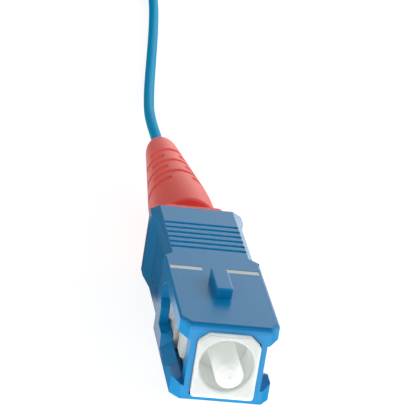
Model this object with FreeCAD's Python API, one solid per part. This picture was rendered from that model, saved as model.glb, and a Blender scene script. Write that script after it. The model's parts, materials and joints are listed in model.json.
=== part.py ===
import FreeCAD, Part
import math
import os

from FreeCAD import Vector

# SC fibre connector with its boot and cord, in millimetres.
# The origin is the centre of the ferrule's tip. +Y runs back along the fibre
# towards the cord, +Z points to the side with the key, and the mating end faces -Y.

# ---- running and seating clearances ----
slide_gap = 0.07          # between the grip and the plug frame that slides in it
bore_gap = 0.05           # round pieces that slide or seat in a bore
web_gap = 0.08            # round the ferrule where it slides through the frame's wall
stop_gap = 0.05           # between faces that meet at a stop
collar_gap = 0.1          # between the grip and the boot's collar

# ---- ferrule assembly ----
ferrule_radius = 1.25
ferrule_length = 10.5
ferrule_tip_radius = 0.82     # polished end inside the lead-in chamfer
ferrule_tip_chamfer = 0.36    # length of that chamfer along the ferrule
ferrule_straight_end = 6.9    # behind this the ferrule tapers into its press-fit seat
ferrule_seat_taper = 0.02     # in radius, over that seat
fibre_radius = 0.0625
buffer_radius = 0.3
flange_front = 7.8            # from the ferrule's tip to the flange
flange_rim = 0.07             # of the hexagon's flats outside the spring
flange_thickness = 1.6
flange_chamfer = 0.3
collar_wall = 0.3
collar_end_wall = 0.5
flange_tail_radius = 1.0
flange_tail_length = 3.4
ferrule_travel = 1.5          # how far the ferrule is pushed in against its spring

# ---- spring ----
spring_wire_radius = 0.2
spring_turns = 6
spring_collar_gap = 0.08      # between the spring's inside and the collar

# ---- plug frame ----
frame_front = 2.22            # the frame's mouth is set back from the ferrule's tip
frame_half_width = 2.83
frame_top = 2.88
frame_bottom = 3.15
frame_top_chamfer_x = 0.96
frame_top_chamfer_z = 0.80
frame_bottom_round = 0.3
frame_top_round = 0.55        # where the top chamfers meet the sides and the top
frame_bore_radius = 2.48
frame_bore_lead_in = 0.15
frame_web = 0.8               # wall that the flange seats on
frame_length = 16.54
body_half_width = 3.4         # of the frame behind its mouth, which sets the grip's width
shoulder_start = 4.04         # from the frame's mouth to the latch shoulder
shoulder_ramp = 0.95
shoulder_length = 1.95
latch_seat_step = 0.15        # from the frame's mouth out to the seats of the latch arms
latch_seat_length = 2.7
latch_seat_height = 1.75      # half of its height
rib_height = 0.3
rib_length = 1.0
rib_half_height = 1.2
tab_slot_to_back = 3.4        # from the slots for the tabs to the frame's back
tab_slot_length = 1.9
tab_slot_half_height = 0.9

# ---- stop ring, crimp and yarn ----
ring_insert = 4.2             # length of the stop ring's barrel inside the frame
spring_seat_depth = 2.0
ring_head_length = 1.2
ring_head_radius = 2.8
ring_neck_radius = 1.95
ring_neck_length = 1.0
ring_tail_radius = 1.6
ring_tail_length = 5.2
ring_tail_bore = 0.7
ring_tail_groove = 0.12
ring_tail_grooves = 3
tab_length = 1.7
tab_recess = 0.2              # of the tabs' ends inside the frame's sides
yarn_thickness = 0.2
crimp_wall = 0.5
crimp_length = 5.2
crimp_cone_length = 0.8
crimp_small_length = 3.6
crimp_small_wall = 0.45

# ---- grip ----
grip_front = 2.75
grip_length = 27.1
grip_floor = 0.48             # wall under the plug frame
grip_corner_x = 0.8
grip_corner_y = 1.1
grip_front_round = 0.42       # over the top's front edge and its corners
grip_edge_bevel = 0.18        # along the top's side edges in front of the waist
ring_length = 1.8             # the front ring that the plug frame looks out of
strip_wall = 0.05             # of the front ring's side strips outside the frame's body
waist_wall = 0.57             # of the narrow waist beside the frame
waist_depth = 0.46            # from the grip's sides in to its waist
waist_start = 15.65
waist_ramp = 1.1
waist_rear_land = 1.55        # behind the waist's flare
waist_flare = 2.2
bevel_width = 0.9             # of the long facets behind the waist's start
bevel_drop = 0.5
groove_start = 1.55           # from the waist's start to the first groove
groove_end = 0.35             # from the last groove to the waist's flare, at least
groove_pitch = 1.158
groove_width = 0.5
groove_depth = 0.32
side_groove_depth = 0.3
side_groove_half_height = 2.3
key_half_width = 0.79
key_start = 5.98
key_length = 4.61
key_height = 0.95
key_round = 0.3
key_edge = 0.12
mark_position = 12.35
mark_inner = 1.17
mark_outer = 4.2
mark_width = 0.8
mark_depth = 0.04
window_rear = 12.05
grip_travel = 1.6             # how far the grip is drawn back to release the plug

# ---- boot ----
collar_side_room = 0.2        # of the collar inside the frame's half width
collar_top_room = 0.1         # and inside its lower half height
collar_round = 0.7
collar_insert = 3.95          # of the collar in the grip
collar_reach = 2.15           # from the grip's back to the collar's
crimp_cover = 1.34            # at least, from the crimp's end to the collar's back
neck_radius = 1.95
neck_length = 1.5
root_hollow = 0.55            # how far the tail's root is hollowed round the neck
tail_root_radius = 3.38
tail_length = 25.1            # from the collar's back to the cord's mouth
tail_taper_start = 6.5        # behind the tail's root, where its straight taper begins
tail_taper_radius = 3.08
tail_nose_length = 2.9
tail_nose_radius = 1.72
tail_mouth_gap = 0.05
tail_yaw = 0.7                # degrees that the cord draws the tail aside
tail_droop = 0.5              # degrees that it hangs down
slot_count = 6
slot_start = 8.2              # from the collar's back to the first slot
slot_pitch = 1.98
slot_width = 0.85
slot_depth = 0.6
top_slot_half_angle = 60.0
side_slot_half_angle = 70.0

# ---- cord ----
cord_radius = 0.6
cord_setback = 0.44           # of the cord's cut end in the crimp's narrow part
coil_outer_turn = 8.4         # radius of the outermost turn's centre line
coil_row_turns = 3.5          # each row winds inwards or outwards by this many turns
turn_gap = 0.04               # between turns beside each other
coil_rows = 6
row_gap = 0.02                # and on each other
tie_thickness = 0.3
tie_width = 2.6
tie_angles = (120.0, 250.0)

# ---- sizes that follow from those ----
grip_back = grip_front + grip_length
frame_back = frame_front + frame_length
cavity_half_width = body_half_width + slide_gap
waist_half_width = cavity_half_width + waist_wall
grip_half_width = waist_half_width + waist_depth
grip_half_height = frame_bottom + slide_gap + grip_floor
bevel_half_width = grip_half_width - bevel_width
waist_end = grip_length - waist_rear_land - waist_flare
groove_first = waist_start + groove_start
groove_count = int((waist_end - groove_end - groove_first) / groove_pitch) + 1
collar_half_width = body_half_width - collar_side_room
collar_half_height = frame_bottom - collar_top_room
floor_z = -grip_half_height

# The cord leaves the boot, comes down to the surface and runs back along it.
# The first point is the boot's mouth, which is worked out from the tail's tilt.
cord_route = [
    (-0.40, 62.0, -0.27),
    (-0.02, 68.5, -1.05),
    (0.92, 76.5, -2.45),
    (1.86, 85.0, -3.08),
    (2.96, 94.5, -3.10),
    (4.10, 104.5, -3.10),
    (5.14, 114.5, -3.08),
    (5.84, 121.5, -2.95),
    (6.10, 127.5, -2.80),
]


# ---------------------------------------------------------------- helpers

def polygon_face(points):
    return Part.Face(Part.makePolygon(points + [points[0]]))


def prism_y(xz, y0, y1):
    face = polygon_face([Vector(x, y0, z) for x, z in xz])
    return face.extrude(Vector(0, y1 - y0, 0))


def prism_z(xy, z0, z1):
    face = polygon_face([Vector(x, y, z0) for x, y in xy])
    return face.extrude(Vector(0, 0, z1 - z0))


def block(x0, x1, y0, y1, z0, z1):
    return Part.makeBox(x1 - x0, y1 - y0, z1 - z0, Vector(x0, y0, z0))


def rod(radius, y0, y1):
    return Part.makeCylinder(radius, y1 - y0, Vector(0, y0, 0), Vector(0, 1, 0))


def turned(radius_y):
    """A solid of revolution about the Y axis from (radius, y) corners."""
    face = polygon_face([Vector(r, y, 0) for r, y in radius_y])
    return face.revolve(Vector(0, 0, 0), Vector(0, 1, 0), 360)


def mirrored(shape):
    return shape.mirror(Vector(0, 0, 0), Vector(1, 0, 0))


def both_sides(shape):
    return shape.fuse(mirrored(shape))


def hexagon(flats, y0, y1):
    corner = flats / math.sqrt(3)
    angles = [math.radians(60 * i) for i in range(6)]
    return prism_y([(corner * math.cos(a), corner * math.sin(a)) for a in angles], y0, y1)


def edges_where(shape, test):
    return [edge for edge in shape.Edges if test(edge)]


def straight_along(edge, axis):
    if len(edge.Vertexes) < 2:
        return False
    step = edge.Vertexes[1].Point - edge.Vertexes[0].Point
    return abs(abs(step.dot(axis)) - step.Length) < 1e-6 and step.Length > 1e-6


# ---------------------------------------------------------------- plug frame

def frame_section(gap=0.0):
    """Outline of the frame's mouth in x and z, grown by a gap."""
    side = frame_half_width + gap
    top = frame_top + gap
    bottom = -frame_bottom - gap
    return [
        (-side, bottom),
        (side, bottom),
        (side, top - frame_top_chamfer_z),
        (side - frame_top_chamfer_x, top),
        (-side + frame_top_chamfer_x, top),
        (-side, top - frame_top_chamfer_z),
    ]


def plug_frame():
    shoulder = frame_front + shoulder_start
    seat = shoulder + shoulder_ramp + shoulder_length
    rear_body = seat + latch_seat_length
    web_back = flange_front - stop_gap
    latch_seat = frame_half_width + latch_seat_step
    rib_half_width = body_half_width + rib_height
    web_front = web_back - frame_web
    rib_back = grip_front + window_rear - stop_gap

    frame = prism_y(frame_section(), frame_front, frame_back)
    low_edges = edges_where(frame, lambda e: straight_along(e, Vector(0, 1, 0))
                            and e.CenterOfMass.z < -frame_bottom + 0.01)
    frame = frame.makeFillet(frame_bottom_round, low_edges)
    high_edges = edges_where(frame, lambda e: straight_along(e, Vector(0, 1, 0))
                             and e.CenterOfMass.z > frame_top - frame_top_chamfer_z - 0.01)
    frame = frame.makeFillet(frame_top_round, high_edges)

    plan = [
        (0, shoulder), (frame_half_width, shoulder),
        (body_half_width, shoulder + shoulder_ramp), (body_half_width, seat),
        (latch_seat, seat), (latch_seat, rear_body),
        (body_half_width, rear_body), (body_half_width, frame_back), (0, frame_back),
    ]
    latch_side = prism_z(plan, -latch_seat_height, latch_seat_height)
    upper_plan = [(0, rear_body), (body_half_width, rear_body),
                  (body_half_width, frame_back), (0, frame_back)]
    rear_side = prism_z(upper_plan, -frame_bottom, frame_top - frame_top_chamfer_z)
    rib_plan = [(0, rib_back - rib_length), (body_half_width, rib_back - rib_length),
                (rib_half_width, rib_back - 0.3 * rib_length), (rib_half_width, rib_back), (0, rib_back)]
    rib = prism_z(rib_plan, -rib_half_height, rib_half_height)
    frame = frame.fuse([both_sides(latch_side), both_sides(rear_side), both_sides(rib)])

    lead = frame_bore_lead_in
    front_bore = turned([
        (0, frame_front - 1), (frame_bore_radius + lead, frame_front - 1),
        (frame_bore_radius + lead, frame_front), (frame_bore_radius, frame_front + lead),
        (frame_bore_radius, web_front), (0, web_front),
    ])
    web_hole = rod(ferrule_radius + web_gap, web_front - 1, flange_front + 1)
    pocket_end = flange_front + flange_thickness + ferrule_travel + 0.3
    pocket = hexagon(flange_flats + 2 * bore_gap, web_back, pocket_end)
    rear_bore = rod(frame_bore_radius, pocket_end - 0.5, frame_back + 1)
    slots = block(-body_half_width - 1, body_half_width + 1,
                  frame_back - tab_slot_to_back, frame_back - tab_slot_to_back + tab_slot_length,
                  -tab_slot_half_height, tab_slot_half_height)
    return frame.cut([front_bore, web_hole, pocket, rear_bore, slots]).removeSplitter()


# ---------------------------------------------------------------- ferrule and spring

def ferrule():
    seat_end = ferrule_length - 0.15
    seat_radius = ferrule_radius - ferrule_seat_taper
    return turned([
        (fibre_radius, 0), (ferrule_tip_radius, 0.04),
        (ferrule_radius - 0.06, 0.04 + ferrule_tip_chamfer), (ferrule_radius, 0.48),
        (ferrule_radius, ferrule_straight_end), (seat_radius, seat_end),
        (seat_radius - 0.15, ferrule_length), (0.45, ferrule_length),
        (fibre_radius, ferrule_length - 1.2),
    ])


def bare_fibre():
    return rod(fibre_radius, 0, ferrule_length - 0.02)


collar_radius = ferrule_radius + collar_wall
flange_back = flange_front + flange_thickness
collar_back_y = ferrule_length + collar_end_wall
tail_back_y = collar_back_y + flange_tail_length


def ferrule_flange():
    disc = hexagon(flange_flats, flange_front, flange_back)
    corner = flange_flats / math.sqrt(3)
    rounding = turned([
        (0, flange_front), (corner - flange_chamfer, flange_front),
        (corner, flange_front + flange_chamfer), (corner, flange_back), (0, flange_back),
    ])
    collar = rod(collar_radius, flange_front, collar_back_y)
    tail = rod(flange_tail_radius, flange_front, tail_back_y)
    seat = ferrule().fuse(rod(ferrule_radius / 2, flange_front - 1, ferrule_length))
    passage = rod(buffer_radius + bore_gap, flange_front, tail_back_y + 1)
    return disc.common(rounding).fuse([collar, tail]).cut([seat, passage])


def buffered_fibre():
    return rod(buffer_radius, ferrule_length + 0.05, buffer_end)


spring_seat = frame_back - ring_insert + spring_seat_depth
spring_mean_radius = collar_radius + spring_collar_gap + spring_wire_radius
flange_flats = 2 * (spring_mean_radius + spring_wire_radius + flange_rim)


def spring():
    """A coil spring: each half turn is a tilted half ring that runs smoothly into the next.
    Its wire is eight-sided, because the spring is out of sight inside the plug."""
    start = flange_back + spring_wire_radius + 0.02
    end = spring_seat - spring_wire_radius - 0.02
    half_turns = 2 * spring_turns
    rise = (end - start) / half_turns
    wire_angles = [math.radians(45 * i) for i in range(8)]
    rings = []
    for i in range(half_turns):
        side = 1 if i % 2 == 0 else -1
        y = start + i * rise
        corners = [Vector(side * spring_mean_radius + spring_wire_radius * math.cos(a),
                          y + spring_wire_radius * math.sin(a), 0) for a in wire_angles]
        tilted_axis = Vector(-side * rise, -2 * spring_mean_radius, 0)
        rings.append(polygon_face(corners).revolve(Vector(0, y + rise / 2, 0), tilted_axis, 180))
    return rings[0].multiFuse(rings[1:])


# ---------------------------------------------------------------- stop ring, yarn and crimp

ring_front = frame_back - ring_insert
ring_head_back = frame_back + ring_head_length
ring_neck_back = ring_head_back + ring_neck_length
ring_back = ring_neck_back + ring_tail_length


def stop_ring():
    barrel_radius = frame_bore_radius - bore_gap
    seat_radius = spring_mean_radius + spring_wire_radius + bore_gap
    tail_room = flange_tail_radius + 0.2
    tail_room_end = max(tail_back_y + ferrule_travel, spring_seat) + 0.4
    body = turned([
        (0, ring_front), (barrel_radius - 0.3, ring_front), (barrel_radius, ring_front + 0.3),
        (barrel_radius, frame_back), (ring_head_radius, frame_back),
        (ring_head_radius, ring_head_back - 0.2), (ring_head_radius - 0.2, ring_head_back),
        (ring_neck_radius, ring_head_back), (ring_neck_radius, ring_neck_back),
        (ring_tail_radius, ring_neck_back), (ring_tail_radius, ring_back), (0, ring_back),
    ])
    tab_start = frame_back - tab_slot_to_back + 0.1
    tab_reach = body_half_width - tab_recess
    tab_plan = [(0, tab_start), (barrel_radius, tab_start), (tab_reach, tab_start + 0.6 * tab_length),
                (tab_reach, tab_start + tab_length), (0, tab_start + tab_length)]
    tab_height = tab_slot_half_height - 0.1
    tabs = both_sides(prism_z(tab_plan, -tab_height, tab_height))
    hollow = turned([
        (0, ring_front - 1), (seat_radius, ring_front - 1), (seat_radius, spring_seat),
        (tail_room, spring_seat), (tail_room, tail_room_end), (ring_tail_bore, tail_room_end + 0.6),
        (ring_tail_bore, ring_back + 1), (0, ring_back + 1),
    ])
    return body.fuse(tabs).cut([hollow] + tail_grooves())


def tail_grooves():
    """Rings cut round the stop ring's tail, which the crimped yarn bites into."""
    pitch = ring_tail_length / (ring_tail_grooves + 1)
    grooves = []
    for i in range(ring_tail_grooves):
        y = ring_neck_back + pitch * (i + 1)
        outer = rod(ring_tail_radius + 1, y - 0.2, y + 0.2)
        grooves.append(outer.cut(rod(ring_tail_radius - ring_tail_groove, y - 1, y + 1)))
    return grooves


crimp_start = ring_neck_back + 0.1
crimp_back = crimp_start + crimp_length
crimp_outer = ring_tail_radius + yarn_thickness + crimp_wall
crimp_end = crimp_back + crimp_cone_length + crimp_small_length
cord_end_start = crimp_back + crimp_cone_length + cord_setback
buffer_end = cord_end_start + 2.5


def yarn_layer():
    outer = rod(ring_tail_radius + yarn_thickness, crimp_start + 0.1, crimp_back - 0.1)
    return outer.cut(rod(ring_tail_radius, crimp_start, crimp_back))


def crimp_ring():
    small_bore = cord_radius + 0.02
    small_outer = small_bore + crimp_small_wall
    cone_back = crimp_back + crimp_cone_length
    inner = ring_tail_radius + yarn_thickness
    return turned([
        (inner, crimp_start), (crimp_outer - 0.1, crimp_start), (crimp_outer, crimp_start + 0.1),
        (crimp_outer, crimp_back), (small_outer, cone_back), (small_outer, crimp_end),
        (small_bore, crimp_end), (small_bore, cone_back), (inner, crimp_back),
    ])


# ---------------------------------------------------------------- grip

def window_cutter():
    """The side window: its sill and lintel ramp up and down to spread the latch arms."""
    inner = [
        (-0.3, -2.45), (1.3, -2.30), (2.8, -2.22), (3.95, -2.26), (5.05, -2.34), (9.15, -2.25),
        (9.85, -1.92), (window_rear, -1.87), (window_rear, -0.5), (12.85, 0.3), (12.85, 1.3),
        (11.55, 1.95), (4.05, 2.02), (2.75, 2.02), (1.55, 2.02), (-0.3, 2.00),
    ]
    outer = [
        (-0.3, -2.15), (1.3, -1.98), (2.8, -1.94), (3.95, -2.40), (5.05, -3.25), (9.5, -3.40),
        (9.9, -2.07), (window_rear, -2.05), (window_rear, -0.5), (12.85, 0.3), (12.85, 1.5),
        (11.55, 2.35), (4.05, 2.30), (2.75, 2.10), (1.55, 2.28), (-0.3, 2.45),
    ]
    wires = []
    for x, profile in ((body_half_width + strip_wall, inner), (grip_half_width + 0.02, outer)):
        points = [Vector(x, grip_front + y, z) for y, z in profile]
        wires.append(Part.makePolygon(points + [points[0]]))
    return Part.makeLoft(wires, True, True)


def bevel_cutter(top):
    """Long facet along one edge of the grip, from the waist's start to its back."""
    slope = bevel_drop / (grip_half_width - bevel_half_width)
    edge = grip_half_width + 0.3
    low = grip_half_height - slope * (edge - bevel_half_width)
    wedge = prism_y([(bevel_half_width, grip_half_height), (edge, low),
                     (edge, grip_half_height + 1), (bevel_half_width, grip_half_height + 1)],
                    grip_front, grip_back + 1)
    step = (grip_half_width - bevel_half_width) * waist_ramp / 0.77
    region = prism_z([(bevel_half_width, grip_front + waist_start), (edge, grip_front + waist_start - step),
                      (edge, grip_back + 1), (bevel_half_width, grip_back + 1)],
                     0, grip_half_height + 1)
    cutter = wedge.common(region)
    if top:
        return cutter
    return cutter.mirror(Vector(0, 0, 0), Vector(0, 0, 1))


def grip_outline():
    side = [
        (grip_half_width - grip_corner_x, 0), (grip_half_width, grip_corner_y),
        (grip_half_width, waist_start - waist_ramp), (waist_half_width, waist_start),
        (waist_half_width, waist_end), (grip_half_width, waist_end + waist_flare),
        (grip_half_width, grip_length),
    ]
    right = [(x, grip_front + y) for x, y in side]
    left = [(-x, y) for x, y in reversed(right)]
    return right + left


def side_bevels():
    """Fine bevels down the top's side edges, from the front corners to the waist."""
    edge = grip_half_width - grip_edge_bevel
    low = grip_half_height - grip_edge_bevel
    start = grip_front + grip_corner_y
    end = grip_front + waist_start - waist_ramp
    wedge = prism_y([(edge, grip_half_height), (grip_half_width + 0.01, low - 0.01),
                     (grip_half_width + 0.01, grip_half_height)], start, end)
    return [wedge, mirrored(wedge)]


def grip_key():
    top = grip_half_height + key_height
    key = block(-key_half_width, key_half_width, grip_front + key_start,
                grip_front + key_start + key_length, grip_half_height - 0.2, top)
    upright = edges_where(key, lambda e: straight_along(e, Vector(0, 0, 1)))
    key = key.makeFillet(key_round, upright)
    rim = edges_where(key, lambda e: abs(e.BoundBox.ZMin - top) < 1e-4)
    return key.makeFillet(key_edge, rim)


def grip_grooves():
    """Finger grooves across the top and bottom, and short ones down the sides of the waist."""
    cutters = []
    for i in range(groove_count):
        y = grip_front + groove_first + i * groove_pitch
        y0, y1 = y - groove_width / 2, y + groove_width / 2
        for z0, z1 in ((grip_half_height - groove_depth, grip_half_height + 1),
                       (-grip_half_height - 1, -grip_half_height + groove_depth)):
            cutters.append(block(-bevel_half_width, bevel_half_width, y0, y1, z0, z1))
        for x0, x1 in ((waist_half_width - side_groove_depth, grip_half_width + 1),
                       (-grip_half_width - 1, -waist_half_width + side_groove_depth)):
            cutters.append(block(x0, x1, y0, y1, -side_groove_half_height, side_groove_half_height))
    return cutters


def grip():
    shell = prism_z(grip_outline(), -grip_half_height, grip_half_height)
    front_edges = edges_where(shell, lambda e: e.CenterOfMass.z > grip_half_height - 0.01
                              and e.CenterOfMass.y < grip_front + grip_corner_y)
    shell = shell.makeFillet(grip_front_round, front_edges)
    shell = shell.cut(side_bevels()).fuse(grip_key())

    mouth = prism_y(frame_section(slide_gap), grip_front - 1, grip_front + ring_length + 1)
    hollow = block(-cavity_half_width, cavity_half_width, grip_front + ring_length, grip_back + 1,
                   -frame_bottom - slide_gap, frame_top + slide_gap)
    room_front = collar_front - grip_travel - collar_gap
    collar_room = block(-cavity_half_width, cavity_half_width, room_front, grip_back + 1,
                        -collar_half_height - collar_gap, collar_half_height + collar_gap)
    cutters = [mouth, hollow, collar_room]
    cutters += grip_grooves()
    for top in (True, False):
        facet = bevel_cutter(top)
        cutters += [facet, mirrored(facet)]
    window = window_cutter()
    cutters += [window, mirrored(window)]
    y_mark = grip_front + mark_position
    mark = block(mark_inner, mark_outer, y_mark - mark_width / 2, y_mark + mark_width / 2,
                 grip_half_height - mark_depth, grip_half_height + 1)
    cutters += [mark, mirrored(mark)]
    return shell.cut(cutters).removeSplitter()


# ---------------------------------------------------------------- boot

collar_front = grip_back - collar_insert
collar_back = max(grip_back + collar_reach, crimp_end + crimp_cover)
tail_tip = collar_back + tail_length
slot_first = collar_back + slot_start


def boot_tail_profile():
    """Half outline of the tapered tail: root, long taper and rounded tip."""
    root = collar_back + neck_length
    nose = Vector(tail_nose_radius, tail_tip - tail_nose_length, 0)
    lip = Vector(cord_radius + tail_mouth_gap + 0.12, tail_tip, 0)
    root_edge = Vector(tail_root_radius - 0.12, root + 0.2, 0)
    taper_start = Vector(tail_taper_radius, root + tail_taper_start, 0)
    heading = (nose - taper_start).normalize()
    inward = Vector(-heading.y, heading.x, 0)
    chord = lip - nose
    nose_round = chord.dot(chord) / (2 * chord.dot(inward))
    centre = nose + inward * nose_round
    out = (nose + chord * 0.5) - centre
    middle = centre + out.normalize() * nose_round
    corners = [
        lip, Vector(0, tail_tip, 0), Vector(0, collar_back - 1, 0),
        Vector(neck_radius, collar_back - 1, 0), Vector(neck_radius, root + root_hollow, 0),
        Vector(tail_root_radius - 0.3, root, 0), root_edge,
    ]
    shoulder = Part.Arc(root_edge, Vector(tail_root_radius - 0.13, root + 0.45 * tail_taper_start, 0),
                        taper_start)
    edges = [shoulder.toShape(), Part.makeLine(taper_start, nose), Part.Arc(nose, middle, lip).toShape()]
    edges += [Part.makeLine(a, b) for a, b in zip(corners, corners[1:])]
    return Part.Face(Part.Wire(Part.__sortEdges__(edges)))


def ring_sector(inner, outer, y0, y1, centre_angle, half_angle):
    """Part of a ring round the Y axis, for one slot of the tail."""
    face = polygon_face([Vector(inner, y0, 0), Vector(outer, y0, 0),
                         Vector(outer, y1, 0), Vector(inner, y1, 0)])
    face.rotate(Vector(0, 0, 0), Vector(0, 1, 0), -(centre_angle - half_angle))
    return face.revolve(Vector(0, 0, 0), Vector(0, 1, 0), -2 * half_angle)


def tail_radius_near(y):
    """Outer radius of the taper, straight between its root and its tip."""
    root = collar_back + neck_length
    share = (y - root) / (tail_tip - tail_nose_length - root)
    return tail_root_radius + share * (tail_nose_radius - tail_root_radius)


def tail_slots():
    """Staggered slots that let the tail bend: side pairs alternate with top and bottom pairs."""
    slots = []
    for i in range(slot_count):
        y = slot_first + i * slot_pitch
        inner = tail_radius_near(y) - slot_depth
        on_top = i % 2 == 1
        half = top_slot_half_angle if on_top else side_slot_half_angle
        for centre in ((90.0, 270.0) if on_top else (0.0, 180.0)):
            slots.append(ring_sector(inner, inner + 2, y - slot_width / 2, y + slot_width / 2, centre, half))
    return slots


def tilt(shape):
    """Swing a piece of the tail about the back of the boot's collar."""
    shape.rotate(Vector(0, collar_back, 0), Vector(0, 0, 1), tail_yaw)
    shape.rotate(Vector(0, collar_back, 0), Vector(1, 0, 0), -tail_droop)
    return shape


def boot():
    collar = block(-collar_half_width, collar_half_width, collar_front, collar_back,
                   -collar_half_height, collar_half_height)
    long_edges = edges_where(collar, lambda e: straight_along(e, Vector(0, 1, 0)))
    collar = collar.makeFillet(collar_round, long_edges)
    tail = boot_tail_profile().revolve(Vector(0, 0, 0), Vector(0, 1, 0), 360)
    tail = tilt(tail.cut(tail_slots()))
    cord_room = tilt(rod(cord_radius + tail_mouth_gap, collar_back + 0.1, tail_tip + 1))
    bend_room = cord_radius + tail_mouth_gap + 0.1
    crimp_room = turned([
        (0, collar_front - 1), (crimp_outer + bore_gap, collar_front - 1),
        (crimp_outer + bore_gap, crimp_back + 0.05), (1.2, crimp_back + crimp_cone_length + 0.1),
        (1.2, crimp_end + 0.1), (bend_room, crimp_end + 0.1),
        (bend_room, collar_back + 0.3), (0, collar_back + 0.3),
    ])
    return collar.fuse(tail).cut([cord_room, crimp_room])


# ---------------------------------------------------------------- cord

def tail_mouth():
    point = tilt(Part.Vertex(0, tail_tip, 0))
    return point.Point


def rounded_path(points):
    """Straight runs joined by tangent arcs, each as large as its two runs allow."""
    edges = []
    start = points[0]
    for before, corner, after in zip(points, points[1:], points[2:]):
        run_in = corner - before
        run_out = after - corner
        half_turn = run_in.getAngle(run_out) / 2
        set_back = 0.45 * min(run_in.Length, run_out.Length)
        radius = set_back / math.tan(half_turn)
        print("cord bend radius %.1f mm, turn %.1f degrees" % (radius, math.degrees(2 * half_turn)))
        to_start = run_in.normalize() * -1
        to_end = run_out.normalize()
        arc_start = corner + to_start * set_back
        arc_end = corner + to_end * set_back
        inward = (to_start + to_end).normalize()
        reach = radius / math.cos(half_turn) - radius
        edges.append(Part.LineSegment(start, arc_start).toShape())
        edges.append(Part.Arc(arc_start, corner + inward * reach, arc_end).toShape())
        start = arc_end
    edges.append(Part.LineSegment(start, points[-1]).toShape())
    return Part.Wire(edges)


def cord_tube(points):
    path = rounded_path(points)
    section = Part.Wire(Part.makeCircle(cord_radius, points[0], points[1] - points[0]))
    tube = path.makePipeShell([section], True, False)
    share = tube.Volume / (math.pi * cord_radius ** 2 * path.Length)
    print("cord tube %.1f mm, volume over section times length %.4f" % (path.Length, share))
    return tube


def cord_end():
    """The cord inside the crimp and the boot: straight, then along the tilted tail."""
    tube = cord_tube([Vector(0, cord_end_start, 0), Vector(0, collar_back, 0), tail_mouth()])
    return tube.cut(rod(buffer_radius + bore_gap, cord_end_start - 1, buffer_end + 0.05))


def cord_run():
    return cord_tube([tail_mouth()] + [Vector(*point) for point in cord_route]).cut(cord_coil())


coil_pitch = 2 * cord_radius + turn_gap
coil_row_step = 2 * cord_radius + row_gap
coil_centre_x = cord_route[-1][0] - coil_outer_turn
coil_centre_y = cord_route[-1][1]
coil_outer = coil_outer_turn + cord_radius
coil_inner = coil_outer_turn - coil_row_turns * coil_pitch - cord_radius
coil_bottom = floor_z + tie_thickness
coil_top = coil_bottom + 2 * cord_radius + (coil_rows - 1) * coil_row_step


def cord_coil():
    """The outer shape of the wound cord, a ring with its corners taken off."""
    corner = 0.4 * cord_radius
    section = [(coil_inner, coil_bottom + corner), (coil_inner + corner, coil_bottom),
               (coil_outer - corner, coil_bottom), (coil_outer, coil_bottom + corner),
               (coil_outer, coil_top - corner), (coil_outer - corner, coil_top),
               (coil_inner + corner, coil_top), (coil_inner, coil_top - corner)]
    face = polygon_face([Vector(r, 0, z) for r, z in section])
    ring = face.revolve(Vector(0, 0, 0), Vector(0, 0, 1), 360)
    ring.translate(Vector(coil_centre_x, coil_centre_y, 0))
    return ring


def coil_tie(angle):
    band = block(coil_inner - tie_thickness, coil_outer + tie_thickness, -tie_width / 2, tie_width / 2,
                 floor_z, coil_top + tie_thickness)
    round_edges = edges_where(band, lambda e: straight_along(e, Vector(0, 1, 0)))
    band = band.makeFillet(tie_thickness, round_edges)
    band.rotate(Vector(0, 0, 0), Vector(0, 0, 1), angle)
    band.translate(Vector(coil_centre_x, coil_centre_y, 0))
    return band.cut(cord_coil())


# ---------------------------------------------------------------- the part

os.makedirs("parts", exist_ok=True)
pieces = {
    "grip": grip(),
    "plug_frame": plug_frame(),
    "ferrule": ferrule(),
    "ferrule_flange": ferrule_flange(),
    "bare_fibre": bare_fibre(),
    "buffered_fibre": buffered_fibre(),
    "spring": spring(),
    "stop_ring": stop_ring(),
    "yarn_layer": yarn_layer(),
    "crimp_ring": crimp_ring(),
    "boot": boot(),
    "cord_end": cord_end(),
    "cord_run": cord_run(),
    "cord_coil": cord_coil(),
}
for number, angle in enumerate(tie_angles, 1):
    pieces["coil_tie_%d" % number] = coil_tie(angle)
for name, shape in pieces.items():
    print("%-16s volume %9.3f mm3, solids %d, valid %s"
          % (name, shape.Volume, len(shape.Solids), shape.isValid()))
    shape.exportStep("parts/%s.step" % name)
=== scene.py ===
import json
import math

import bpy
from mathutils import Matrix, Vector


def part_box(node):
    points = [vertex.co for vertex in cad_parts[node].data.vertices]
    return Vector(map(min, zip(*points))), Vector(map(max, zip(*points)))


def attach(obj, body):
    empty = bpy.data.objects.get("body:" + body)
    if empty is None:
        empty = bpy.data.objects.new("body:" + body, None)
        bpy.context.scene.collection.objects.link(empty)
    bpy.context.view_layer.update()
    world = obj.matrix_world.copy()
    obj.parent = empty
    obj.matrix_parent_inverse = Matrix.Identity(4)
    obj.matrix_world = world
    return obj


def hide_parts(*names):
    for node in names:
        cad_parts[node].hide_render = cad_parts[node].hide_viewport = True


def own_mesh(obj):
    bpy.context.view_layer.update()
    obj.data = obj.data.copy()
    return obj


mm = 0.001  # the frame is in metres, and the sizes below are in millimetres
black = (0, 0, 0, 1)
white = (1, 1, 1, 1)

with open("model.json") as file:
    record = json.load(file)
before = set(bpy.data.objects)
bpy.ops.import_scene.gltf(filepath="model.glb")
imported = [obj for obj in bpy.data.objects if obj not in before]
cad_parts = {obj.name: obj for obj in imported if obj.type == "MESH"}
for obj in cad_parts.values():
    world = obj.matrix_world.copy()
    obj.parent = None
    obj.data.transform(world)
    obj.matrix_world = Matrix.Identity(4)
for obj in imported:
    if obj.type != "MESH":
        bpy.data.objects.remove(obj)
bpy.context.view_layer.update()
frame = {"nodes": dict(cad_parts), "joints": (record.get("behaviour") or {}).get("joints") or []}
nodes = frame["nodes"]
print("frame loaded")


# ---- camera

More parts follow.
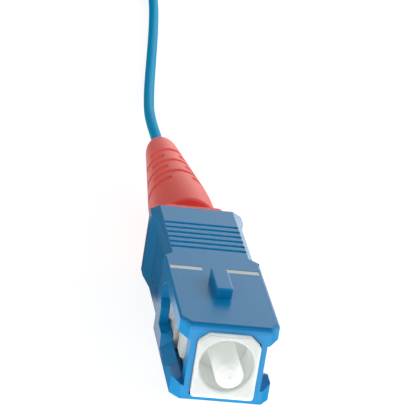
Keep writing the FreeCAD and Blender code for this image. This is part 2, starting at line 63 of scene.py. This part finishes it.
cameraFacts = {
    "place": (-42.580, -208.364, 98.780),
    "turn": (68.3088, -8.5878, -7.0498),
    "lens": 228.97,
    "sensor": 36.0,
    "nearest": 20.0,
    "furthest": 4000.0,
}


def makeCamera():
    data = bpy.data.cameras.new("camera")
    data.sensor_width = cameraFacts["sensor"]
    data.lens = cameraFacts["lens"]
    data.clip_start = cameraFacts["nearest"] * mm
    data.clip_end = cameraFacts["furthest"] * mm
    camera = bpy.data.objects.new("camera", data)
    camera.location = Vector(cameraFacts["place"]) * mm
    camera.rotation_euler = [math.radians(angle) for angle in cameraFacts["turn"]]
    bpy.context.collection.objects.link(camera)
    bpy.context.scene.camera = camera


makeCamera()
print("camera placed")


# ---- cord

cordFacts = {
    "radius": 0.6,
    # the boot's mouth, then the way down to the surface and back along it
    "route": [
        (-0.31, 57.10, -0.22),
        (-0.40, 62.0, -0.27),
        (-0.02, 68.5, -1.05),
        (0.92, 76.5, -2.45),
        (1.96, 85.0, -3.08),
        (3.18, 94.5, -3.10),
        (4.45, 104.5, -3.10),
        (5.56, 114.5, -3.08),
        (6.02, 121.5, -2.95),
        (6.10, 127.5, -2.80),
    ],
    "outerTurn": 8.4,
    "pitch": 1.24,
    "rowTurns": 3.5,
    "climbTurns": 0.25,
    "rows": 6,
    "rowStep": 1.22,
    "pointsPerTurn": 24,
    "roundness": 5,
    "order": 3,
    "stepsPerPoint": 4,
}


# Each row winds in or out by rowTurns, then climbs to the row above it.
def coilPoints():
    outer = cordFacts["outerTurn"]
    inner = outer - cordFacts["rowTurns"] * cordFacts["pitch"]
    centre = Vector(cordFacts["route"][-1]) - Vector((outer, 0, 0))
    perTurn = cordFacts["pointsPerTurn"]
    flatSteps = round(cordFacts["rowTurns"] * perTurn)
    climbSteps = round(cordFacts["climbTurns"] * perTurn)
    rowSteps = flatSteps + climbSteps
    lastRow = cordFacts["rows"] - 1
    points = []
    for row in range(cordFacts["rows"]):
        start, end = (inner, outer) if row % 2 else (outer, inner)
        for i in range(1, rowSteps + 1):
            angle = 2 * math.pi * (row * rowSteps + i) / perTurn
            radius = start + (end - start) * min(1, i / flatSteps)
            climbed = 0 if row == lastRow else max(0, i - flatSteps) / climbSteps
            height = (row + climbed) * cordFacts["rowStep"]
            points.append(centre + Vector((radius * math.cos(angle), radius * math.sin(angle), height)))
    return points


def lengthOf(points):
    return sum((b - a).length for a, b in zip(points, points[1:]))


def makeCord():
    points = [Vector(point) for point in cordFacts["route"]] + coilPoints()
    data = bpy.data.curves.new("fibre_cord", "CURVE")
    data.dimensions = "3D"
    data.bevel_depth = 1.0  # times the radius of each point, which also widens the curve's box
    data.bevel_resolution = cordFacts["roundness"]
    data.resolution_u = cordFacts["stepsPerPoint"]
    data.use_fill_caps = True
    spline = data.splines.new("NURBS")
    spline.points.add(len(points) - 1)
    for slot, point in zip(spline.points, points):
        slot.co = (*(point * mm), 1)
        slot.radius = cordFacts["radius"] * mm
    spline.order_u = cordFacts["order"]
    spline.use_endpoint_u = True
    cord = bpy.data.objects.new("fibre_cord", data)
    bpy.context.collection.objects.link(cord)
    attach(cord, "plug")
    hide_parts("cord_run", "cord_coil")
    points[0] * mm
    lengthOf(points) * mm
    print("cord length %.0f mm" % lengthOf(points))


makeCord()


# ---- spring and coated fibre, copied into pieces of their own

shortening = {
    "joint": "ferrule_slide",
    # new piece, the node that it stands for, its slot
    "pieces": (
        ("coil_spring", "spring", "spring_steel"),
        ("coated_fibre", "buffered_fibre", "buffer_plastic"),
    ),
}


# Each piece takes a copy of its node's mesh and rides with the plug, and the node is hidden.
def makeShortening():
    joint = next(joint for joint in frame["joints"] if joint["name"] == shortening["joint"])
    travel = joint["range_m"][1]
    for name, node, slot in shortening["pieces"]:
        front, back = (corner.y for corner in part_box(node))
        piece = bpy.data.objects.new(name, nodes[node].data.copy())
        bpy.context.collection.objects.link(piece)
        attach(piece, "plug")
        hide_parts(node)
        1 - travel / (back - front)
        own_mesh(piece)


makeShortening()
print("spring and coated fibre made")


# ---- shader maths

edgeSamples = 6


class Value:
    def __init__(self, graph, socket):
        self.graph = graph
        self.socket = socket

    def __add__(self, other):
        return self.graph.maths("ADD", self, other)

    def __radd__(self, other):
        return self.graph.maths("ADD", other, self)

    def __sub__(self, other):
        return self.graph.maths("SUBTRACT", self, other)

    def __rsub__(self, other):
        return self.graph.maths("SUBTRACT", other, self)

    def __mul__(self, other):
        return self.graph.maths("MULTIPLY", self, other)

    def __rmul__(self, other):
        return self.graph.maths("MULTIPLY", other, self)

    def __abs__(self):
        return self.graph.maths("ABSOLUTE", self)


class Graph:
    def __init__(self, owner):
        owner.use_nodes = True
        self.owner = owner
        self.tree = owner.node_tree
        self.tree.nodes.clear()

    def node(self, kind, settings=None, sockets=None, output=0):
        made = self.tree.nodes.new("ShaderNode" + kind)
        for key, value in (settings or {}).items():
            setattr(made, key, value)
        for key, value in (sockets or {}).items():
            self.feed(made.inputs[key], value)
        return Value(self, made.outputs[output]) if made.outputs else None

    def feed(self, socket, value):
        if isinstance(value, Value):
            self.tree.links.new(value.socket, socket)
        else:
            socket.default_value = value

    def maths(self, operation, *values):
        return self.node("Math", {"operation": operation}, dict(enumerate(values)))

    def larger(self, first, second):
        return self.maths("MAXIMUM", first, second)

    # 0 below low, 1 above high, smooth between
    def ramp(self, value, low, high):
        return self.node("MapRange", {"interpolation_type": "SMOOTHSTEP"},
                         {"Value": value, "From Min": low, "From Max": high})

    # 1 between low and high, with soft ends
    def band(self, value, low, high, soft):
        above = self.ramp(value, low - soft, low + soft)
        return above * (1 - self.ramp(value, high - soft, high + soft))

    # a colour, first at factor 0 and second at factor 1; the node keeps colours in sockets 6 and 7
    def mix(self, factor, first, second):
        return self.node("Mix", {"data_type": "RGBA"}, {"Factor": factor, 6: first, 7: second}, output=2)

    # a number, first at factor 0 and second at factor 1
    def blend(self, factor, first, second):
        return self.node("Mix", {"data_type": "FLOAT"}, {0: factor, 2: first, 3: second})

    # place in the frame at rest, in millimetres
    def place(self):
        spot = self.node("TexCoord", output="Object")
        return self.node("VectorMath", {"operation": "SCALE"}, {0: spot, "Scale": 1 / mm})

    def axes(self, vector):
        split = self.node("SeparateXYZ", sockets={0: vector})
        return [Value(self, output) for output in split.socket.node.outputs]

    def stretched(self, vector, scale):
        return self.node("VectorMath", {"operation": "MULTIPLY"}, {0: vector, 1: scale})

    # 1 along a way, down to 0 where the cosine of the angle to it falls to edge
    def towards(self, vector, way, edge):
        facing = self.node("VectorMath", {"operation": "DOT_PRODUCT"}, {0: vector, 1: way}, output="Value")
        return self.ramp(facing, edge, 1.0)

    def noise(self, vector, scale, detail):
        return self.node("TexNoise", sockets={"Vector": vector, "Scale": scale, "Detail": detail})

    def bump(self, height, strength, depth, normal=None):
        sockets = {"Height": height, "Strength": strength, "Distance": depth * mm}
        if normal:
            sockets["Normal"] = normal
        return self.node("Bump", sockets=sockets)

    def softEdges(self, radius):
        return self.node("Bevel", {"samples": edgeSamples}, {"Radius": radius * mm})

    def seenBy(self, ray):
        return self.node("LightPath", output=ray)

    def surface(self, sockets):
        shader = self.node("BsdfPrincipled", sockets=sockets)
        self.node("OutputMaterial", sockets={"Surface": shader})
        return self.owner


def newMaterial(name):
    return Graph(bpy.data.materials.new(name))


# A look's roughness, with a little more where the noise is high and less where it is low.
def uneven(look, noise):
    return look["roughness"] + (noise - 0.5) * look["roughnessSpread"]


# ---- grip

gripLook = {
    "colour": (0.0, 0.21, 0.475, 1),
    "roughness": 0.25,
    "roughnessSpread": 0.06,
    "cloud": (0.35, 2.0),  # scale and detail
    "grain": (9.0, 3.0),
    "grainBump": (0.12, 0.02),  # strength and depth
    "edge": 0.07,
    "ior": 1.46,
    # the rounded front edge of the top, painted darker: painted shade along the lip
    "lipShadeColour": (0.0, 0.17, 0.41, 1),
    "lipBack": (3.1, 3.3),
    "lipFoot": (3.02, 3.12),
    # the walls of the finger grooves on the top, painted paler: painted light where the grooves lie in
    # shade
    "grooveLightColour": (0.0, 0.40, 0.72, 1),
    "grooveAlong": (19.6, 26.4, 0.1),
    "grooveUp": (3.3, 3.66, 0.02),
    "grooveSide": (3.55, 3.65),
    # the pale marks on both sides of the key
    "markColour": (0.62, 0.67, 0.65, 1),
    "markAcross": (1.17, 4.20, 0.04),
    "markAlong": (14.70, 15.50, 0.04),
    "markFoot": (3.5, 3.6),
}


def gripPlastic():
    look = gripLook
    graph = newMaterial("grip plastic")
    place = graph.place()
    x, y, z = graph.axes(place)
    # painted shade on the rounded front edge of the top
    lipShade = (1 - graph.ramp(y, *look["lipBack"])) * graph.ramp(z, *look["lipFoot"])
    # painted light on the walls of the finger grooves
    grooveLight = (graph.band(y, *look["grooveAlong"]) * graph.band(z, *look["grooveUp"])
               * (1 - graph.ramp(abs(x), *look["grooveSide"])))
    marks = (graph.band(abs(x), *look["markAcross"]) * graph.band(y, *look["markAlong"])
             * graph.ramp(z, *look["markFoot"]))
    colour = graph.mix(lipShade, look["colour"], look["lipShadeColour"])
    colour = graph.mix(grooveLight, colour, look["grooveLightColour"])
    grain = graph.noise(place, *look["grain"])
    return graph.surface({
        "Base Color": graph.mix(marks, colour, look["markColour"]),
        "Roughness": uneven(look, graph.noise(place, *look["cloud"])),
        "Normal": graph.bump(grain, *look["grainBump"], graph.softEdges(look["edge"])),
        "IOR": look["ior"],
    })


# ---- plug frame

# Light soaks through the white walls, and painted light makes the bore and the front face glow, more
# towards the top of the face, to keep them pale.
frameLook = {
    "colour": (0.52, 0.54, 0.53, 1),
    "paintedGlowColour": (0.45, 0.475, 0.445, 1),
    "roughness": 0.4,
    "roughnessSpread": 0.08,
    "grain": (7.0, 3.0),
    "grainBump": (0.1, 0.02),
    "edge": 0.12,
    "ior": 1.49,
    "softness": 0.7,
    "softColour": (1.0, 1.0, 0.95),
    "softDepth": 1.5,
    "boreStart": (2.3, 3.4),
    "boreRadius": (2.5, 2.6),
    "boreShare": 0.43,
    "faceAlong": (2.3, 2.9, 0.05),
    "faceRadius": (2.7, 2.8),
    "faceShare": 0.4,
    "faceTop": (1.2, 2.8),
    "faceTopShare": 0.4,
}


def framePlastic():
    look = frameLook
    graph = newMaterial("frame plastic")
    place = graph.place()
    x, y, z = graph.axes(place)
    fromAxis = graph.maths("SQRT", x * x + z * z)
    # painted light: the bore and the front face outside it glow
    bore = graph.ramp(y, *look["boreStart"]) * (1 - graph.ramp(fromAxis, *look["boreRadius"]))
    face = graph.band(y, *look["faceAlong"]) * graph.ramp(fromAxis, *look["faceRadius"])
    faceShare = look["faceShare"] + graph.ramp(z, *look["faceTop"]) * look["faceTopShare"]
    paintedGlow = bore * look["boreShare"] + face * faceShare
    grain = graph.noise(place, *look["grain"])
    return graph.surface({
        "Base Color": look["colour"],
        "Emission Color": graph.mix(paintedGlow, black, look["paintedGlowColour"]),
        "Emission Strength": 1.0,
        "Roughness": uneven(look, grain),
        "Normal": graph.bump(grain, *look["grainBump"], graph.softEdges(look["edge"])),
        "Subsurface Weight": look["softness"],
        "Subsurface Radius": look["softColour"],
        "Subsurface Scale": look["softDepth"] * mm,
        "IOR": look["ior"],
    })


# ---- ferrule

ferruleLook = {
    "colour": (0.60, 0.62, 0.605, 1),
    "paintedGlowColour": (0.25, 0.26, 0.245, 1),
    "roughness": 0.2,
    "roughnessSpread": 0.05,
    "cloud": (1.2, 2.0),
    "edge": 0.2,
    "ior": 1.6,
    "softness": 0.6,
    "softColour": (1.0, 0.97, 0.9),
    "softDepth": 1.0,
    # painted light: the rod glows from here back
    "rodStart": (0.05, 0.9),
    # painted light: the chamfer's upper half glows as pale as the rod behind it
    "chamferStart": (0.01, 0.1),
    "chamferUp": (0.1, 0.8),
}


def ceramic():
    look = ferruleLook
    graph = newMaterial("ceramic")
    place = graph.place()
    _, y, z = graph.axes(place)
    # painted light on the rod and the chamfer's upper half
    chamfer = graph.ramp(y, *look["chamferStart"]) * graph.ramp(z, *look["chamferUp"])
    paintedGlow = graph.larger(graph.ramp(y, *look["rodStart"]), chamfer)
    return graph.surface({
        "Base Color": look["colour"],
        "Emission Color": graph.mix(paintedGlow, black, look["paintedGlowColour"]),
        "Emission Strength": 1.0,
        "Roughness": uneven(look, graph.noise(place, *look["cloud"])),
        "Normal": graph.softEdges(look["edge"]),
        "Subsurface Weight": look["softness"],
        "Subsurface Radius": look["softColour"],
        "Subsurface Scale": look["softDepth"] * mm,
        "IOR": look["ior"],
    })


# ---- boot

bootLook = {
    # darker at the collar, a painted shade near the grip, and paler towards the tip
    "shadedCollarColour": (0.81, 0.105, 0.085, 1),
    "tipColour": (1.0, 0.18, 0.155, 1),
    "collarToTip": (26.0, 56.0),
    "cloud": (0.5, 2.0),
    "cloudShare": 0.3,
    # painted light: the whole boot glows faintly
    "paintedGlowColour": (1.0, 0.2, 0.17, 1),
    "paintedGlowPower": 0.035,
    "roughness": 0.48,
    "roughnessSpread": 0.08,
    "grain": (6.0, 4.0),
    "grainBump": (0.15, 0.03),
    "edge": 0.15,
    "ior": 1.36,
    "softness": 0.12,
    "softColour": (1.0, 0.35, 0.3),
    "softDepth": 0.8,
}


def bootRubber():
    look = bootLook
    graph = newMaterial("boot rubber")
    place = graph.place()
    _, y, _ = graph.axes(place)
    cloud = graph.noise(place, *look["cloud"])
    # painted shade at the collar end, fading towards the tip
    nearTip = graph.ramp(y, *look["collarToTip"]) + (cloud - 0.5) * look["cloudShare"]
    grain = graph.noise(place, *look["grain"])
    return graph.surface({
        "Base Color": graph.mix(nearTip, look["shadedCollarColour"], look["tipColour"]),
        "Emission Color": look["paintedGlowColour"],
        "Emission Strength": look["paintedGlowPower"],
        "Roughness": uneven(look, grain),
        "Normal": graph.bump(grain, *look["grainBump"], graph.softEdges(look["edge"])),
        "Subsurface Weight": look["softness"],
        "Subsurface Radius": look["softColour"],
        "Subsurface Scale": look["softDepth"] * mm,
        "IOR": look["ior"],
    })


# ---- cord jacket

jacketLook = {
    "colour": (0.0, 0.35, 0.64, 1),
    "roughness": 0.45,
    "roughnessSpread": 0.1,
    "grain": (4.0, 3.0),
    "grainBump": (0.06, 0.02),
    "specular": 0.22,
    "ior": 1.15,
}


def cordJacket():
    look = jacketLook
    graph = newMaterial("cord jacket")
    grain = graph.noise(graph.place(), *look["grain"])
    return graph.surface({
        "Base Color": look["colour"],
        "Specular IOR Level": look["specular"],
        "Roughness": uneven(look, grain),
        "Normal": graph.bump(grain, *look["grainBump"]),
        "IOR": look["ior"],
    })


# ---- pieces inside the plug, and the coil's ties

metalLook = {
    "kinds": {
        "plated metal": {"colour": (0.7, 0.68, 0.64, 1), "roughness": 0.3},
        "crimped metal": {"colour": (0.66, 0.65, 0.62, 1), "roughness": 0.42},
        "spring wire": {"colour": (0.6, 0.6, 0.6, 1), "roughness": 0.25},
    },
    "roughnessSpread": 0.1,
    "lineWay": (0.3, 14.0, 0.3),  # tool marks lie close together along the axis
    "lines": (1.0, 3.0),
    "lineBump": (0.12, 0.02),
}


def turnedMetal(name):
    look = {**metalLook, **metalLook["kinds"][name]}
    graph = newMaterial(name)
    lines = graph.noise(graph.stretched(graph.place(), look["lineWay"]), *look["lines"])
    return graph.surface({
        "Base Color": look["colour"],
        "Metallic": 1.0,
        "Roughness": uneven(look, lines),
        "Normal": graph.bump(lines, *look["lineBump"]),
    })


plasticLook = {
    "kinds": {
        "fibre coating": {"colour": (0.8, 0.8, 0.74, 1), "roughness": 0.35},
        "tie plastic": {"colour": (0.75, 0.75, 0.73, 1), "roughness": 0.45},
    },
    "roughnessSpread": 0.08,
    "grain": (6.0, 3.0),
    "grainBump": (0.08, 0.02),
}


def plainPlastic(name):
    look = {**plasticLook, **plasticLook["kinds"][name]}
    graph = newMaterial(name)
    grain = graph.noise(graph.place(), *look["grain"])
    return graph.surface({
        "Base Color": look["colour"],
        "Roughness": uneven(look, grain),
        "Normal": graph.bump(grain, *look["grainBump"]),
    })


yarnLook = {
    "darkColour": (0.55, 0.4, 0.1, 1),
    "paleColour": (0.8, 0.62, 0.2, 1),
    "roughness": 0.7,
    "strandWay": (12.0, 0.8, 12.0),  # strands run along the axis
    "strands": (1.0, 3.0),
    "strandBump": (0.5, 0.05),
}


def yarnFibres():
    look = yarnLook
    graph = newMaterial("yarn")
    strands = graph.noise(graph.stretched(graph.place(), look["strandWay"]), *look["strands"])
    return graph.surface({
        "Base Color": graph.mix(strands, look["darkColour"], look["paleColour"]),
        "Roughness": look["roughness"],
        "Normal": graph.bump(strands, *look["strandBump"]),
    })


glassLook = {
    "colour": (0.55, 0.6, 0.63, 1),
    "roughness": 0.075,
    "roughnessSpread": 0.03,
    "cloud": (20.0, 2.0),
    "ior": 1.46,
}


def glassFibre():
    look = glassLook
    graph = newMaterial("glass fibre")
    return graph.surface({
        "Base Color": look["colour"],
        "Roughness": uneven(look, graph.noise(graph.place(), *look["cloud"])),
        "IOR": look["ior"],
    })


def dress(material, *names):
    for name in names:
        piece = nodes[name] if name in nodes else bpy.data.objects[name]
        piece.data.materials.clear()
        piece.data.materials.append(material)


dress(gripPlastic(), "grip")
dress(framePlastic(), "plug_frame")
dress(ceramic(), "ferrule")
dress(bootRubber(), "boot")
dress(cordJacket(), "cord_end", "fibre_cord")
dress(turnedMetal("plated metal"), "ferrule_flange", "stop_ring")
dress(turnedMetal("crimped metal"), "crimp_ring")
dress(turnedMetal("spring wire"), "coil_spring")
dress(plainPlastic("fibre coating"), "coated_fibre")
dress(plainPlastic("tie plastic"), "coil_tie_1", "coil_tie_2")
dress(yarnFibres(), "yarn_layer")
dress(glassFibre(), "bare_fibre")
print("materials made")


# ---- floor

floorFacts = {
    "half": 1500.0,
    # the light that it gives, in front of the plug and behind its mouth
    "frontPower": 2.6,
    "rearPower": 0.5,
    "frontToRear": (2, 16),
    # what gloss sees of it: start, end, softness and power of each brighter strip
    "glossPower": 0.08,
    "glossStrips": (
        (-400, 2, 1, 1.1),  # in front of the plug
        (12, 24, 1.5, 0.7),  # beside the plug
        (46, 75, 3, 1.1),  # beside the boot
    ),
    # what the camera sees: white in the open, with the object's shadow
    "colour": (0.35, 0.35, 0.35, 1),
    "backing": 0.83,
}


def makeFloor():
    half = floorFacts["half"] * mm
    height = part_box("grip")[0].z
    corners = [(-half, -half), (half, -half), (half, half), (-half, half)]
    data = bpy.data.meshes.new("floor")
    data.from_pydata([(x, y, height) for x, y in corners], [], [(0, 1, 2, 3)])
    floor = bpy.data.objects.new("floor", data)
    bpy.context.collection.objects.link(floor)
    graph = newMaterial("floor")
    _, y, _ = graph.axes(graph.place())
    lit = graph.blend(graph.ramp(y, *floorFacts["frontToRear"]), floorFacts["frontPower"],
                      floorFacts["rearPower"])
    gloss = floorFacts["glossPower"]
    for start, end, soft, power in floorFacts["glossStrips"]:
        gloss = graph.band(y, start, end, soft) * power + gloss
    strength = graph.blend(graph.seenBy("Is Glossy Ray"), lit, gloss)
    unseen = graph.node("Emission", sockets={"Strength": strength})
    shaded = graph.node("BsdfDiffuse", sockets={"Color": floorFacts["colour"]})
    backed = graph.node("Emission", sockets={"Strength": floorFacts["backing"]})
    shown = graph.node("AddShader", sockets={0: shaded, 1: backed})
    ground = graph.node("MixShader", sockets={0: graph.seenBy("Is Camera Ray"), 1: unseen, 2: shown})
    graph.node("OutputMaterial", sockets={"Surface": ground})
    data.materials.append(graph.owner)


makeFloor()
print("floor laid")


# ---- sky and lamps

# A way points from the object, and its edge is the cosine where the patch ends.
skyFacts = {
    "highPower": 0.47,
    "lowPower": 0.77,
    "lowToHigh": (0.0, 0.9),
    # a dark patch behind on the left
    "shade": {"way": (-0.45, 0.87, 0.15), "edge": 0.72, "depth": 0.8},
    # two bright patches low behind on the right, for the sheen of the top and the right edges
    "glow": {"way": (0.40, 0.91, 0.10), "edge": 0.7, "power": 0.08},
    "rim": {"way": (0.42, 0.91, 0.04), "edge": 0.9, "power": 1.8},
    # gloss sees little of the sky overhead and in front
    "glossRise": (0.5, 0.8),
    "glossFront": {"way": (0.15, -0.9, 0.35), "edge": 0.8},
    "glossDepth": 0.8,
}


def makeSky():
    world = bpy.data.worlds.new("sky")
    bpy.context.scene.world = world
    graph = Graph(world)
    way = graph.node("TexCoord", output="Generated")
    rise = graph.axes(way)[2]

    def patch(name):
        return graph.towards(way, skyFacts[name]["way"], skyFacts[name]["edge"])

    drop = skyFacts["highPower"] - skyFacts["lowPower"]
    dome = skyFacts["lowPower"] + drop * graph.ramp(rise, *skyFacts["lowToHigh"])
    hidden = graph.larger(graph.ramp(rise, *skyFacts["glossRise"]), patch("glossFront"))
    glossShade = graph.seenBy("Is Glossy Ray") * hidden * skyFacts["glossDepth"]
    shade = graph.larger(patch("shade") * skyFacts["shade"]["depth"], glossShade)
    bright = patch("glow") * skyFacts["glow"]["power"] + patch("rim") * skyFacts["rim"]["power"]
    light = graph.node("Background", sockets={"Color": white, "Strength": dome * (1 - shade) + bright})
    graph.node("OutputWorld", sockets={"Surface": light})


lampFacts = {
    "key light": {"place": (-120, -260, 150), "aim": (0, 20, 0), "size": 160, "power": 0.05},
    "side light": {"place": (260, 90, 130), "aim": (0, 35, 0), "size": 140, "power": 0.32},
}


def makeLamp(name):
    facts = lampFacts[name]
    data = bpy.data.lights.new(name, "AREA")
    data.shape = "SQUARE"
    data.size = facts["size"] * mm
    data.energy = facts["power"]
    lamp = bpy.data.objects.new(name, data)
    lamp.location = Vector(facts["place"]) * mm
    aim = Vector(facts["aim"]) - Vector(facts["place"])
    lamp.rotation_euler = aim.to_track_quat("-Z", "Y").to_euler()
    lamp.visible_glossy = False  # only the sky and the floor show in the gloss
    bpy.context.collection.objects.link(lamp)


makeSky()
for name in lampFacts:
    makeLamp(name)
bpy.context.scene.view_settings.view_transform = "Standard"
print("light set")
